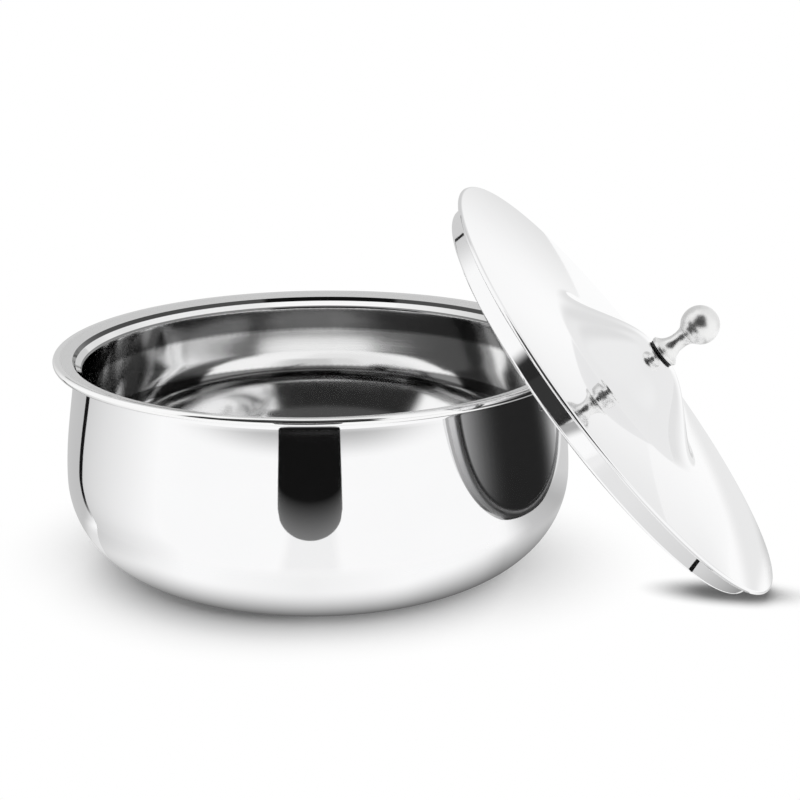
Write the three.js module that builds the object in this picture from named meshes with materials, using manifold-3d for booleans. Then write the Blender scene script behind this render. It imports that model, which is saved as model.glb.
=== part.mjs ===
// Insulated serving casserole in polished steel, with a separate lid that leans on its rim.
// Millimetres, +Z up. The origin is the centre of the pot's base, on the table.
// The lid leans towards +X, its lower edge on the table and its underside against the rim.

import * as THREE from "three";
import { mergeVertices } from "three/addons/utils/BufferGeometryUtils.js";
import Module from "manifold-3d";

const wasm = await Module();
wasm.setup();

// Facets
const turnSteps = 40; // round the pot and the lid
const knobSteps = 24; // round the knob and what fastens it
const plugSteps = 16; // round the small plugs
const bodyCurveSteps = 6;
const neckCurveSteps = 3;
const bendSteps = 3;
const beadSteps = 8;
const hemSteps = 5;
const coneSteps = 8;
const ballSteps = 10;
const footEdgeSteps = 2;
const nutSides = 6;

// Clearances
const touchGap = 0.3; // between pieces that touch
const foamGap = 0.4; // between the foam and the sheets round it
const skirtFit = 0.9; // round the lid's skirt, inside the pot's mouth
const threadFit = 0.3; // round the stud
const cutOverrun = 1; // how far a cutter runs past the sheet that it cuts
const weldTolerance = 0.0001; // closer points than this are one point

// Sheet steel
const shellSheet = 0.5;
const bowlSheet = 0.6;
const baseSheet = 0.6;
const lidSheet = 0.5;

// Pot mouth and rim: from the mouth a funnel, a step, a flange and a rolled bead follow outwards
const mouthRadius = 102.5;
const mouthEdgeRadius = 1.2;
const mouthLeanDegrees = 5;
const funnelWidth = 2.9;
const funnelSlopeDegrees = 42;
const stepWidth = 1.2;
const stepDrop = 1.9;
const flangeWidth = 8.4; // from the step to the outside of the bead
const flangeSlopeDegrees = 13.7;
const rimHeight = 96.1;
const beadRadius = 1.65;
const beadCurlDegrees = 220;
const shellFlangeInset = 0.45; // the shell's flange ends this far inside the bead's centre

// Inner bowl
const bowlBulge = 1.1; // how much wider than its mouth it is
const bowlBellyHeight = 66;
const bowlFloorRadius = 58;
const bowlFloorHeight = 13;
const bowlHandleShares = { belly: 0.4, mouth: 0.35 };

// Outer shell
const neckClear = 0.7; // from the step's foot to the neck's outside
const neckFlareRadius = 4;
const neckLeanDegrees = 7.5;
const bodyBulge = 5.2; // how much wider than its neck it is
const bodyBellyHeight = 42;
const bodyBaseRadius = 68;
const bodyHandleShares = { belly: 0.34, neck: 0.4 };

// Base plate and its two plugs
const baseRingWidth = 7.7;
const baseLedgeWidth = 6;
const basePlugRadius = 5.7;
const basePlugLip = 1.8;
const basePlugLipThickness = 0.6;
const basePlugPlace = 30;
const basePlugRecess = 0.3;

// Lid cover: a bell-shaped cone on a shallow disc with a hemmed edge
const lidSeatWidth = 0.7; // how far its edge reaches over the pot's flange
const hemLipWidth = 2.4;
const discRise = 2.75;
const coneFootRadius = 49;
const coneHeight = 21.3;
const coneSeatRadius = 7.2;
const coneSeatSlopeDegrees = 1.5;
const coneFootSlopeDegrees = 2.2;
const coneHandleShares = { seat: 0.3125, foot: 0.26 };

// Lid inner cover: flange, skirt, rounded corner and a raised panel
const skirtDepth = 10.4;
const skirtCornerRadius = 1.5;
const skirtShoulderRadius = 0.8;
const skirtFlangeInset = 0.1; // the flange ends this far inside the hem's centre
const panelRise = 3.6;
const panelSlopeWidth = 7;
const panelRimWidth = 8.6; // the low ring round the panel, to the skirt's outside
const panelSlopeShares = { startRun: 0.25, startDrop: 0.1, endRun: 0.75, endDrop: 0.9 };
const lidPlugRadius = 9;
const lidPlugLip = 2;
const lidPlugLipThickness = 0.8;
const lidPlugRecess = 0.3;

// Knob: a dark ring, a waisted stem and a ball
const ringRadius = 6.6;
const ringThickness = 0.5;
const footRadius = 7.2;
const footHeight = 1.7;
const footEdge = 0.5;
const stemLength = 11.05; // from its foot to the lowest point of its cup
const waistRadius = 3.6;
const waistHeightShare = 0.78; // of the stem's length
const cupRadius = 5;
const ballRadius = 8.35;
const stemLowerShares = { inward: 0.7, rise: 0.23, waist: 0.43 };
const stemUpperShares = { waist: 0.5, inward: 0.7, rise: 0.2 };

// Stud and what holds it under the cone
const studRadius = 2.5;
const studChamfer = 0.4;
const studInStemShare = 0.54; // of the stem's length
const studPastNut = 1.2;
const studWasherRadius = 5.6;
const studWasherThickness = 1;
const lockWasherRadius = 4.4;
const lockWasherThickness = 1.2;
const nutAcrossFlats = 8;
const nutHeight = 4;
const nutPocketGap = 0.6;

// Pose of the lid
const lidLeanDegrees = 50.1;

// Finishes
const polishedSteel = { color: 0xdcdddd, roughness: 0.07, metalness: 1 };
const satinSteel = { color: 0xc8c8c6, roughness: 0.28, metalness: 1 };
const zincSteel = { color: 0xb3b2ab, roughness: 0.45, metalness: 1 };
const foam = { color: 0xeadfb8, roughness: 0.95, metalness: 0 };
const darkRubber = { color: 0x1c1c1d, roughness: 0.6, metalness: 0 };
const greyPlastic = { color: 0x6f7274, roughness: 0.5, metalness: 0 };

const radians = THREE.MathUtils.degToRad;
const quarterTurn = Math.PI / 2;
const at = (radius, height) => new THREE.Vector2(radius, height);

// Profiles are lists of points at a radius and a height

// An arc of an ellipse, its angles measured from the outward direction
function arc(centre, reachOut, reachUp, startAngle, endAngle, steps) {
  const points = [];
  for (let step = 0; step <= steps; step += 1) {
    const angle = startAngle + ((endAngle - startAngle) * step) / steps;
    points.push(at(centre.x + reachOut * Math.cos(angle), centre.y + reachUp * Math.sin(angle)));
  }
  return points;
}

function bend(start, startHandle, endHandle, end, steps) {
  return new THREE.CubicBezierCurve(start, startHandle, endHandle, end).getPoints(steps);
}

function joined(...runs) {
  const points = [];
  for (const next of runs.flat()) {
    const last = points.at(-1);
    if (!last || last.distanceTo(next) > weldTolerance) points.push(next);
  }
  return points;
}

// The same profile moved to the left of its travel by the distance, or to the right if it is negative
function shifted(profile, distance) {
  return profile.map((here, index) => {
    const before = profile[Math.max(index - 1, 0)];
    const after = profile[Math.min(index + 1, profile.length - 1)];
    const arriving = (index > 0 ? here.clone().sub(before) : after.clone().sub(here)).normalize();
    const leaving = (index < profile.length - 1 ? after.clone().sub(here) : arriving.clone()).normalize();
    const along = arriving.clone().add(leaving).normalize();
    const stretch = distance / along.dot(arriving);
    return at(here.x - along.y * stretch, here.y + along.x * stretch);
  });
}

// A sheet whose one face follows the profile
function sheet(profile, thickness) {
  return joined(profile, shifted(profile, thickness).reverse());
}

// Solids

function tidied(geometry) {
  geometry.deleteAttribute("normal");
  geometry.deleteAttribute("uv");
  const merged = mergeVertices(geometry, weldTolerance);
  const corners = merged.index.array;
  const kept = [];
  for (let first = 0; first < corners.length; first += 3) {
    const [a, b, c] = corners.slice(first, first + 3);
    if (a !== b && b !== c && c !== a) kept.push(a, b, c);
  }
  merged.setIndex(kept);
  return merged;
}

// Turns an outline about the Z axis. It starts and ends on the axis, or is closed here.
function turned(outline, steps) {
  const points = THREE.ShapeUtils.area(outline) > 0 ? outline : [...outline].reverse();
  const onAxis = points[0].x === 0 && points.at(-1).x === 0;
  const profile = onAxis ? points : [...points, points[0]];
  return tidied(new THREE.LatheGeometry(profile, steps).rotateX(quarterTurn));
}

function toManifold(geometry) {
  const vertProperties = new Float32Array(geometry.attributes.position.array);
  const triVerts = new Uint32Array(geometry.index.array);
  return new wasm.Manifold(new wasm.Mesh({ numProp: 3, vertProperties, triVerts }));
}

function fromManifold(manifold) {
  const mesh = manifold.getMesh();
  const geometry = new THREE.BufferGeometry();
  geometry.setAttribute("position", new THREE.BufferAttribute(mesh.vertProperties, 3));
  geometry.setIndex(new THREE.BufferAttribute(mesh.triVerts, 1));
  return geometry;
}

function cutBy(geometry, cutters) {
  const cut = cutters.reduce((rest, cutter) => rest.subtract(toManifold(cutter)), toManifold(geometry));
  return fromManifold(cut);
}

function piece(name, geometry, finish) {
  geometry.computeVertexNormals();
  const mesh = new THREE.Mesh(geometry, new THREE.MeshStandardMaterial(finish));
  mesh.name = name;
  return mesh;
}

// Radii and lines that the pot's pieces share

const bowlBellyRadius = mouthRadius + bowlBulge;
const stepRadius = mouthRadius + funnelWidth;
const flangeInnerRadius = stepRadius + stepWidth;
const rimRadius = flangeInnerRadius + flangeWidth;
const bodyNeckRadius = stepRadius + neckClear;
const bodyBellyRadius = bodyNeckRadius + bodyBulge;
const baseRecessRadius = bodyBaseRadius - baseRingWidth;

const flangeSlope = radians(flangeSlopeDegrees);
const beadCentre = at(rimRadius - beadRadius, rimHeight - beadRadius);
const beadStartAngle = quarterTurn + flangeSlope;

// The height of a line under the flange's top face, by its depth square to the face
function flangeHeight(radius, depth) {
  const top = arc(beadCentre, beadRadius, beadRadius, beadStartAngle, beadStartAngle, 1)[0];
  return top.y - (top.x - radius) * Math.tan(flangeSlope) - depth / Math.cos(flangeSlope);
}

const flangeEdge = at(flangeInnerRadius, flangeHeight(flangeInnerRadius, 0));

// The bowl's inside face, from the middle of its floor to the end of the rolled bead
function bowlWall() {
  const belly = at(bowlBellyRadius, bowlBellyHeight);
  const floorCentre = at(bowlFloorRadius, bowlBellyHeight);
  const step = at(stepRadius, flangeEdge.y - stepDrop);
  const funnelSlope = radians(funnelSlopeDegrees);
  const mouthStart = Math.PI + radians(mouthLeanDegrees);
  const mouthEnd = quarterTurn + funnelSlope;
  const edgeRadius = mouthRadius + mouthEdgeRadius;
  const funnelFoot = edgeRadius + mouthEdgeRadius * Math.cos(mouthEnd);
  const edgeHeight =
    step.y - (step.x - funnelFoot) * Math.tan(funnelSlope) - mouthEdgeRadius * Math.sin(mouthEnd);
  const mouthEdge = arc(
    at(edgeRadius, edgeHeight), mouthEdgeRadius, mouthEdgeRadius, mouthStart, mouthEnd, bendSteps,
  );
  const rise = mouthEdge[0].y - bowlBellyHeight;
  const mouthHandle = rise * bowlHandleShares.mouth;
  return {
    floor: arc(
      floorCentre, bowlBellyRadius - bowlFloorRadius, bowlBellyHeight - bowlFloorHeight,
      -quarterTurn, 0, bodyCurveSteps,
    ),
    wall: bend(
      belly,
      at(bowlBellyRadius, bowlBellyHeight + rise * bowlHandleShares.belly),
      at(
        mouthEdge[0].x + mouthHandle * Math.tan(radians(mouthLeanDegrees)),
        mouthEdge[0].y - mouthHandle,
      ),
      mouthEdge[0],
      neckCurveSteps,
    ),
    mouthEdge,
    step,
  };
}

function innerBowl() {
  const { floor, wall, mouthEdge, step } = bowlWall();
  const bead = arc(
    beadCentre, beadRadius, beadRadius,
    beadStartAngle, beadStartAngle - radians(beadCurlDegrees), beadSteps,
  );
  const inside = joined([at(0, bowlFloorHeight)], floor, wall, mouthEdge, [step, flangeEdge], bead);
  return turned(sheet(inside, -bowlSheet), turnSteps);
}

// The shell's outside face, from the foot of its wall to the top of its neck
function bodyWall() {
  const depth = bowlSheet + touchGap + shellSheet;
  const flareEnd = quarterTurn + flangeSlope;
  const flareStart = Math.PI + radians(neckLeanDegrees);
  const flareRadius = bodyNeckRadius + neckFlareRadius;
  const flareTop = flareRadius + neckFlareRadius * Math.cos(flareEnd);
  const flareHeight = flangeHeight(flareTop, depth) - neckFlareRadius * Math.sin(flareEnd);
  const flare = arc(
    at(flareRadius, flareHeight), neckFlareRadius, neckFlareRadius, flareStart, flareEnd, bendSteps,
  );
  const rise = flare[0].y - bodyBellyHeight;
  const neckHandle = rise * bodyHandleShares.neck;
  return {
    lower: arc(
      at(bodyBaseRadius, bodyBellyHeight), bodyBellyRadius - bodyBaseRadius, bodyBellyHeight,
      -quarterTurn, 0, bodyCurveSteps,
    ),
    upper: bend(
      at(bodyBellyRadius, bodyBellyHeight),
      at(bodyBellyRadius, bodyBellyHeight + rise * bodyHandleShares.belly),
      at(flare[0].x + neckHandle * Math.tan(radians(neckLeanDegrees)), flare[0].y - neckHandle),
      flare[0],
      neckCurveSteps,
    ),
    flare,
  };
}

const basePlateRadius = baseRecessRadius - touchGap;
const baseLedgeHeight = baseSheet + touchGap;

function outerShell() {
  const { lower, upper, flare } = bodyWall();
  const flangeEnd = beadCentre.x - shellFlangeInset;
  const outside = joined(
    [
      at(baseRecessRadius - baseLedgeWidth, baseLedgeHeight),
      at(baseRecessRadius, baseLedgeHeight),
      at(baseRecessRadius, 0),
    ],
    lower,
    upper,
    flare,
    [at(flangeEnd, flangeHeight(flangeEnd, bowlSheet + touchGap + shellSheet))],
  );
  return turned(sheet(outside, shellSheet), turnSteps);
}

const plugLipTop = baseLedgeHeight + basePlugLipThickness;

function potInsulation() {
  const body = bodyWall();
  const bowl = bowlWall();
  const outer = shifted(joined(body.lower, body.upper), shellSheet + foamGap);
  const inner = shifted(joined(bowl.floor, bowl.wall), -bowlSheet - foamGap);
  const bottom = plugLipTop + touchGap;
  const outerPart = outer.filter((place) => place.y > bottom);
  const innerPart = inner.filter((place) => place.y < outerPart.at(-1).y);
  return turned(
    joined(
      [at(0, bottom), at(bodyBaseRadius, bottom)],
      outerPart,
      innerPart.reverse(),
      [at(0, bowlFloorHeight - bowlSheet - foamGap)],
    ),
    turnSteps,
  );
}

// A plug pushed through a hole in a sheet: a cap in the hole and a wider lip behind the sheet
function plug(capRadius, lipWidth, capBottom, lipBottom, lipTop) {
  return turned(
    [
      at(0, capBottom),
      at(capRadius, capBottom),
      at(capRadius, lipBottom),
      at(capRadius + lipWidth, lipBottom),
      at(capRadius + lipWidth, lipTop),
      at(0, lipTop),
    ],
    plugSteps,
  );
}

function basePlug() {
  return plug(basePlugRadius, basePlugLip, basePlugRecess, baseLedgeHeight, plugLipTop);
}

function basePlate() {
  const disc = turned(
    [at(0, 0), at(basePlateRadius, 0), at(basePlateRadius, baseSheet), at(0, baseSheet)],
    turnSteps,
  );
  const cutterLength = baseSheet + cutOverrun + cutOverrun;
  const holes = [basePlugPlace, -basePlugPlace].map((place) =>
    tidied(
      new THREE.CylinderGeometry(
        basePlugRadius + touchGap, basePlugRadius + touchGap, cutterLength, plugSteps,
      )
        .rotateX(quarterTurn)
        .translate(0, place, baseSheet / 2),
    ),
  );
  return cutBy(disc, holes);
}

// Lid, in its own frame: the height is zero at the top of its edge

// The hem folds the cover round the inner cover's flange, so it is three sheets thick
const hemRadius = (lidSheet + touchGap + lidSheet + touchGap + lidSheet) / 2;
const lidRadius = flangeInnerRadius + lidSeatWidth;
const hemCentre = at(lidRadius - hemRadius, -hemRadius);
const hemLipEdge = at(hemCentre.x - hemLipWidth, -hemRadius - hemRadius);

function coneWall() {
  const seat = at(coneSeatRadius, coneHeight);
  const foot = at(coneFootRadius, discRise);
  const span = coneFootRadius - coneSeatRadius;
  const seatHandle = span * coneHandleShares.seat;
  const footHandle = span * coneHandleShares.foot;
  return bend(
    seat,
    at(seat.x + seatHandle, seat.y - seatHandle * Math.tan(radians(coneSeatSlopeDegrees))),
    at(foot.x - footHandle, foot.y + footHandle * Math.tan(radians(coneFootSlopeDegrees))),
    foot,
    coneSteps,
  );
}

function lidCover() {
  const hem = arc(hemCentre, hemRadius, hemRadius, quarterTurn, -quarterTurn, hemSteps);
  const outside = joined([at(studRadius + threadFit, coneHeight)], coneWall(), hem, [hemLipEdge]);
  return turned(sheet(outside, -lidSheet), turnSteps);
}

const skirtRadius = mouthRadius - skirtFit;
const panelRadius = skirtRadius - panelRimWidth - panelSlopeWidth;
const panelHeight = panelRise - skirtDepth;
const flangeUnderside = hemLipEdge.y + lidSheet + touchGap;
const panelInside = panelHeight + lidSheet;

// The inner cover's outside face, from the hole in its panel to the edge of its flange
function skirtWall() {
  const { startRun, startDrop, endRun, endDrop } = panelSlopeShares;
  const corner = at(skirtRadius - skirtCornerRadius, skirtCornerRadius - skirtDepth);
  const shoulder = at(skirtRadius + skirtShoulderRadius, flangeUnderside - skirtShoulderRadius);
  return joined(
    [at(lidPlugRadius + touchGap, panelHeight), at(panelRadius, panelHeight)],
    [
      at(panelRadius + panelSlopeWidth * startRun, panelHeight - panelRise * startDrop),
      at(panelRadius + panelSlopeWidth * endRun, panelHeight - panelRise * endDrop),
    ],
    [at(panelRadius + panelSlopeWidth, -skirtDepth)],
    arc(corner, skirtCornerRadius, skirtCornerRadius, -quarterTurn, 0, bendSteps),
    arc(shoulder, skirtShoulderRadius, skirtShoulderRadius, Math.PI, quarterTurn, bendSteps),
    [at(hemCentre.x - skirtFlangeInset, flangeUnderside)],
  );
}

function lidInnerCover() {
  return turned(sheet(skirtWall(), lidSheet), turnSteps);
}

const washerTop = coneHeight - lidSheet - touchGap;
const lockWasherTop = washerTop - studWasherThickness - touchGap;
const nutTop = lockWasherTop - lockWasherThickness - touchGap;
const studEnd = nutTop - nutHeight - studPastNut;
const nutCornerRadius = nutAcrossFlats / 2 / Math.cos(Math.PI / nutSides);
const pocketRadius = Math.max(nutCornerRadius, studWasherRadius) + nutPocketGap;
const lidPlugTop = panelInside + touchGap + lidPlugLipThickness;

function lidInsulation() {
  const edgeTop = -lidSheet - foamGap - lidSheet - foamGap;
  const plugClear = lidPlugRadius + lidPlugLip + foamGap;
  const under = shifted(coneWall(), -lidSheet - foamGap).filter((place) => place.x > pocketRadius);
  const over = shifted(skirtWall(), lidSheet + foamGap)
    .filter((place) => place.x > plugClear && place.x < skirtRadius && place.y < edgeTop);
  const pocketTop = coneHeight - lidSheet - foamGap - touchGap;
  return turned(
    joined(
      [at(0, lidPlugTop + touchGap), at(plugClear, lidPlugTop + touchGap)],
      [at(plugClear, panelInside + foamGap)],
      over,
      [at(over.at(-1).x, edgeTop)],
      under.reverse(),
      [at(pocketRadius, pocketTop), at(pocketRadius, studEnd - nutPocketGap)],
      [at(0, studEnd - nutPocketGap)],
    ),
    turnSteps,
  );
}

function lidPlug() {
  return plug(
    lidPlugRadius, lidPlugLip, panelHeight + lidPlugRecess, panelInside + touchGap, lidPlugTop,
  );
}

// Knob, on the lid's axis

const ringBottom = coneHeight + touchGap;
const footBottom = ringBottom + ringThickness + touchGap;
const studTop = footBottom + stemLength * studInStemShare;
const ballHeight = footBottom + stemLength + touchGap + ballRadius;
const holeRadius = studRadius + threadFit;

function washer(innerRadius, outerRadius, bottom, thickness) {
  const top = bottom + thickness;
  return turned(
    [at(innerRadius, bottom), at(outerRadius, bottom), at(outerRadius, top), at(innerRadius, top)],
    knobSteps,
  );
}

function knobStem() {
  const footTop = footBottom + footHeight;
  const foot = at(footRadius - footEdge, footTop);
  const waist = at(waistRadius, footBottom + stemLength * waistHeightShare);
  const cupReach = ballRadius + touchGap;
  const cupAngle = Math.asin(cupRadius / cupReach);
  const cupEdge = at(cupRadius, ballHeight - cupReach * Math.cos(cupAngle));
  const lowerIn = foot.x - waist.x;
  const lowerUp = waist.y - foot.y;
  const upperOut = cupEdge.x - waist.x;
  const upperUp = cupEdge.y - waist.y;
  return turned(
    joined(
      [at(0, studTop + threadFit), at(holeRadius, studTop + threadFit), at(holeRadius, footBottom)],
      arc(
        at(footRadius - footEdge, footBottom + footEdge), footEdge, footEdge,
        -quarterTurn, 0, footEdgeSteps,
      ),
      arc(
        at(footRadius - footEdge, footTop - footEdge), footEdge, footEdge,
        0, quarterTurn, footEdgeSteps,
      ),
      bend(
        foot,
        at(foot.x - lowerIn * stemLowerShares.inward, foot.y + lowerUp * stemLowerShares.rise),
        at(waist.x, waist.y - lowerUp * stemLowerShares.waist),
        waist,
        bodyCurveSteps,
      ),
      bend(
        waist,
        at(waist.x, waist.y + upperUp * stemUpperShares.waist),
        at(cupEdge.x - upperOut * stemUpperShares.inward, cupEdge.y - upperUp * stemUpperShares.rise),
        cupEdge,
        neckCurveSteps,
      ),
      arc(at(0, ballHeight), cupReach, cupReach, cupAngle - quarterTurn, -quarterTurn, bendSteps)
        .slice(0, -1),
      [at(0, ballHeight - cupReach)],
    ),
    knobSteps,
  );
}

function knobBall() {
  const half = arc(at(0, ballHeight), ballRadius, ballRadius, -quarterTurn, quarterTurn, ballSteps);
  half[0].x = 0;
  half.at(-1).x = 0;
  return turned(half, knobSteps);
}

function knobStud() {
  const tip = studRadius - studChamfer;
  return turned(
    [
      at(0, studEnd),
      at(tip, studEnd),
      at(studRadius, studEnd + studChamfer),
      at(studRadius, studTop - studChamfer),
      at(tip, studTop),
      at(0, studTop),
    ],
    knobSteps,
  );
}

function studNut() {
  const hexagon = new THREE.Shape();
  for (let corner = 0; corner < nutSides; corner += 1) {
    const angle = (corner * Math.PI * 2) / nutSides;
    const corners = [nutCornerRadius * Math.cos(angle), nutCornerRadius * Math.sin(angle)];
    if (corner === 0) hexagon.moveTo(...corners);
    else hexagon.lineTo(...corners);
  }
  const bore = new THREE.Path();
  bore.absarc(0, 0, holeRadius, 0, Math.PI * 2, true);
  hexagon.holes.push(bore);
  const settings = { depth: nutHeight, bevelEnabled: false, curveSegments: plugSteps };
  return tidied(new THREE.ExtrudeGeometry(hexagon, settings).translate(0, 0, nutTop - nutHeight));
}

// The lid's place: its lowest edge just above the table, its panel just clear of the bead

function lidPlace() {
  const lean = radians(lidLeanDegrees);
  const drop = (radius, height, round) => radius * Math.sin(lean) - height * Math.cos(lean) + round;
  const hemDrop = drop(hemCentre.x, hemCentre.y, hemRadius);
  const cornerDrop = drop(
    skirtRadius - skirtCornerRadius, skirtCornerRadius - skirtDepth, skirtCornerRadius,
  );
  const height = touchGap + Math.max(hemDrop, cornerDrop);
  const reach = (beadCentre.y - height) * Math.cos(lean) - panelHeight + beadRadius + touchGap;
  return { lean, x: beadCentre.x + reach / Math.sin(lean), z: height };
}

// Assembly

const pot = new THREE.Group();
pot.add(
  piece("outer_shell", outerShell(), polishedSteel),
  piece("inner_bowl", innerBowl(), polishedSteel),
  piece("pot_insulation", potInsulation(), foam),
  piece("base_plate", basePlate(), satinSteel),
);
for (const [name, place] of [["base_fill_plug", basePlugPlace], ["base_vent_plug", -basePlugPlace]]) {
  const basePlugMesh = piece(name, basePlug(), darkRubber);
  basePlugMesh.position.set(0, place, 0);
  pot.add(basePlugMesh);
}

const lid = new THREE.Group();
lid.add(
  piece("lid_cover", lidCover(), polishedSteel),
  piece("lid_inner_cover", lidInnerCover(), polishedSteel),
  piece("lid_insulation", lidInsulation(), foam),
  piece("lid_fill_plug", lidPlug(), greyPlastic),
  piece("knob_seat_ring", washer(holeRadius, ringRadius, ringBottom, ringThickness), darkRubber),
  piece("knob_stem", knobStem(), satinSteel),
  piece("knob_ball", knobBall(), satinSteel),
  piece("knob_stud", knobStud(), zincSteel),
  piece(
    "stud_washer",
    washer(holeRadius, studWasherRadius, washerTop - studWasherThickness, studWasherThickness),
    zincSteel,
  ),
  piece(
    "stud_lock_washer",
    washer(holeRadius, lockWasherRadius, lockWasherTop - lockWasherThickness, lockWasherThickness),
    zincSteel,
  ),
  piece("stud_nut", studNut(), zincSteel),
);
const leaning = lidPlace();
lid.position.set(leaning.x, 0, leaning.z);
lid.rotation.y = leaning.lean;

const casserole = new THREE.Group();
casserole.add(pot, lid);

export default casserole;
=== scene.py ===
"""Looks of an insulated serving casserole in polished steel, its lift-off lid leaning on its rim.

Profiles are in millimetres, as a radius and a height, and become metres where meshes are made.
"""

import math

import bpy
from mathutils import Matrix, Vector


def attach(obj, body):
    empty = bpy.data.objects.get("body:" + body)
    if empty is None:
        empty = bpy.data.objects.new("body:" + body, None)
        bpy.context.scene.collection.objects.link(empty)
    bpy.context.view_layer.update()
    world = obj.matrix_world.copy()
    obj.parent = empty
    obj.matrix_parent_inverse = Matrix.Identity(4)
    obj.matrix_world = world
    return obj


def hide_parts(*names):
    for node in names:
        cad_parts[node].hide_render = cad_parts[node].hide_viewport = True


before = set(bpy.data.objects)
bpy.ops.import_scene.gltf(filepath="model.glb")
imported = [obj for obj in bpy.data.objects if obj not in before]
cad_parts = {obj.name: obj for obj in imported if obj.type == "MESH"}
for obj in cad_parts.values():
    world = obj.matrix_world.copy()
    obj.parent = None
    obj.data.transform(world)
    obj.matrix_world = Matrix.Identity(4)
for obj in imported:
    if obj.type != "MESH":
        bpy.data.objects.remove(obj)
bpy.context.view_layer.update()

MILLIMETRE = 0.001
QUARTER = math.pi / 2
ON_AXIS = 1e-6  # a radius below this is on the axis
SAME_POINT = 1e-4
CORNER_REACH = 0.45  # the share of an outline's edge that a softened corner may take

# Facets
TURN_STEPS = 192
FINE_FACET_INSET = 0.04  # keeps the finer facets inside the box of the coarser ones
KNOB_STEPS = 96
SMALL_STEPS = 64
CURVE_STEPS = 40
BEAD_STEPS = 28
CORNER_STEPS = 5

# Clearances and sheets
TOUCH_GAP = 0.3
SKIRT_FIT = 0.9
SHELL_SHEET = 0.5
BOWL_SHEET = 0.6
BASE_SHEET = 0.6
LID_SHEET = 0.5

# Pot mouth and rim
MOUTH_RADIUS = 102.5
MOUTH_EDGE_RADIUS = 1.2
MOUTH_LEAN = math.radians(5)
FUNNEL_SLOPE = math.radians(42)
STEP_RADIUS = MOUTH_RADIUS + 2.9
STEP_DROP = 1.9
FLANGE_INNER_RADIUS = STEP_RADIUS + 1.2
FLANGE_SLOPE = math.radians(13.7)
RIM_RADIUS = FLANGE_INNER_RADIUS + 8.4 - FINE_FACET_INSET
RIM_HEIGHT = 96.1
BEAD_RADIUS = 1.65
BEAD_CURL = math.radians(220)
BEAD_CENTRE = (RIM_RADIUS - BEAD_RADIUS, RIM_HEIGHT - BEAD_RADIUS)
BEAD_START = QUARTER + FLANGE_SLOPE
SHELL_FLANGE_INSET = 0.45
RIM_CORNER = 0.45
SHELL_CORNER = 0.18

# Inner bowl
BOWL_BELLY_RADIUS = MOUTH_RADIUS + 1.1
BOWL_BELLY_HEIGHT = 66
BOWL_FLOOR_RADIUS = 58
BOWL_FLOOR_HEIGHT = 13
BOWL_HANDLES = (0.4, 0.35)

# Outer shell
NECK_RADIUS = STEP_RADIUS + 0.7
NECK_FLARE_RADIUS = 4
NECK_LEAN = math.radians(7.5)
BELLY_RADIUS = NECK_RADIUS + 5.2
BELLY_HEIGHT = 42
BASE_RADIUS = 68
BODY_HANDLES = (0.34, 0.4)

# Base
BASE_RECESS_RADIUS = BASE_RADIUS - 7.7
BASE_LEDGE_WIDTH = 6
BASE_PLATE_RADIUS = BASE_RECESS_RADIUS - TOUCH_GAP
BASE_PLUG_RADIUS = 5.7
BASE_PLUG_LIP = 1.8
BASE_PLUG_LIP_THICKNESS = 0.6
BASE_PLUG_PLACE = 30
PLUG_RECESS = 0.3
PLUG_EDGE = 0.2
PLUG_DISH_SHARE, PLUG_DISH_DEPTH, PLUG_DISH_SLOPE_WIDTH = 0.62, 0.2, 0.6
PLATE_BEVEL = 0.1

# Lid cover, its height zero at the top of its edge
LID_RADIUS = FLANGE_INNER_RADIUS + 0.7 - FINE_FACET_INSET
HEM_RADIUS = (LID_SHEET * 3 + TOUCH_GAP * 2) / 2
HEM_CENTRE = (LID_RADIUS - HEM_RADIUS, -HEM_RADIUS)
HEM_LIP_WIDTH = 2.4
LID_CORNER = 0.15
DISC_RISE = 2.75
DISC_HANDLE = 0.33
DISC_RIM_SLOPE = 1.35
CONE_FOOT_RADIUS = 49
CONE_HEIGHT = 21.3
CONE_SEAT_RADIUS = 7.2
CONE_SEAT_SLOPE = math.radians(1.5)
CONE_FOOT_SLOPE = math.radians(2.2)
CONE_HANDLES = (0.3125, 0.26)

# Lid inner cover
SKIRT_RADIUS = MOUTH_RADIUS - SKIRT_FIT
SKIRT_DEPTH = 10.4
SKIRT_CORNER = 1.5
SKIRT_SHOULDER = 0.8
SKIRT_FLANGE_INSET = 0.1
PANEL_RISE = 3.6
PANEL_SLOPE_WIDTH = 7
PANEL_RADIUS = SKIRT_RADIUS - 8.6 - PANEL_SLOPE_WIDTH
PANEL_HEIGHT = PANEL_RISE - SKIRT_DEPTH
LID_PLUG_RADIUS = 9
LID_PLUG_LIP = 2
LID_PLUG_LIP_THICKNESS = 0.8

# Knob
STUD_HOLE = 2.8
RING_RADIUS = 6.6
RING_THICKNESS = 0.5
RING_EDGE = 0.15
RING_BOTTOM = CONE_HEIGHT + TOUCH_GAP
FOOT_RADIUS = 7.2
FOOT_HEIGHT = 1.7
FOOT_EDGE = 0.5
FOOT_BOTTOM = RING_BOTTOM + RING_THICKNESS + TOUCH_GAP
STEM_LENGTH = 11.05
WAIST_RADIUS = 3.6
WAIST_SHARE = 0.78
STEM_FOOT_HANDLES, STEM_CUP_HANDLES = (0.7, 0.23), (0.7, 0.2)
WAIST_HANDLES = (0.43, 0.5)
CUP_RADIUS = 5
CUP_GAP = 0.03
STEM_EDGE = 0.25
BALL_RADIUS = 8.35
BALL_HEIGHT = FOOT_BOTTOM + STEM_LENGTH + TOUCH_GAP + BALL_RADIUS
STUD_TOP = FOOT_BOTTOM + STEM_LENGTH * 0.54

LID_LEAN = math.radians(50.1)


# Profiles


def arc(centre, reach_out, reach_up, start, end, steps):
    angles = [start + (end - start) * step / steps for step in range(steps + 1)]
    return [
        (centre[0] + reach_out * math.cos(angle), centre[1] + reach_up * math.sin(angle))
        for angle in angles
    ]


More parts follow.
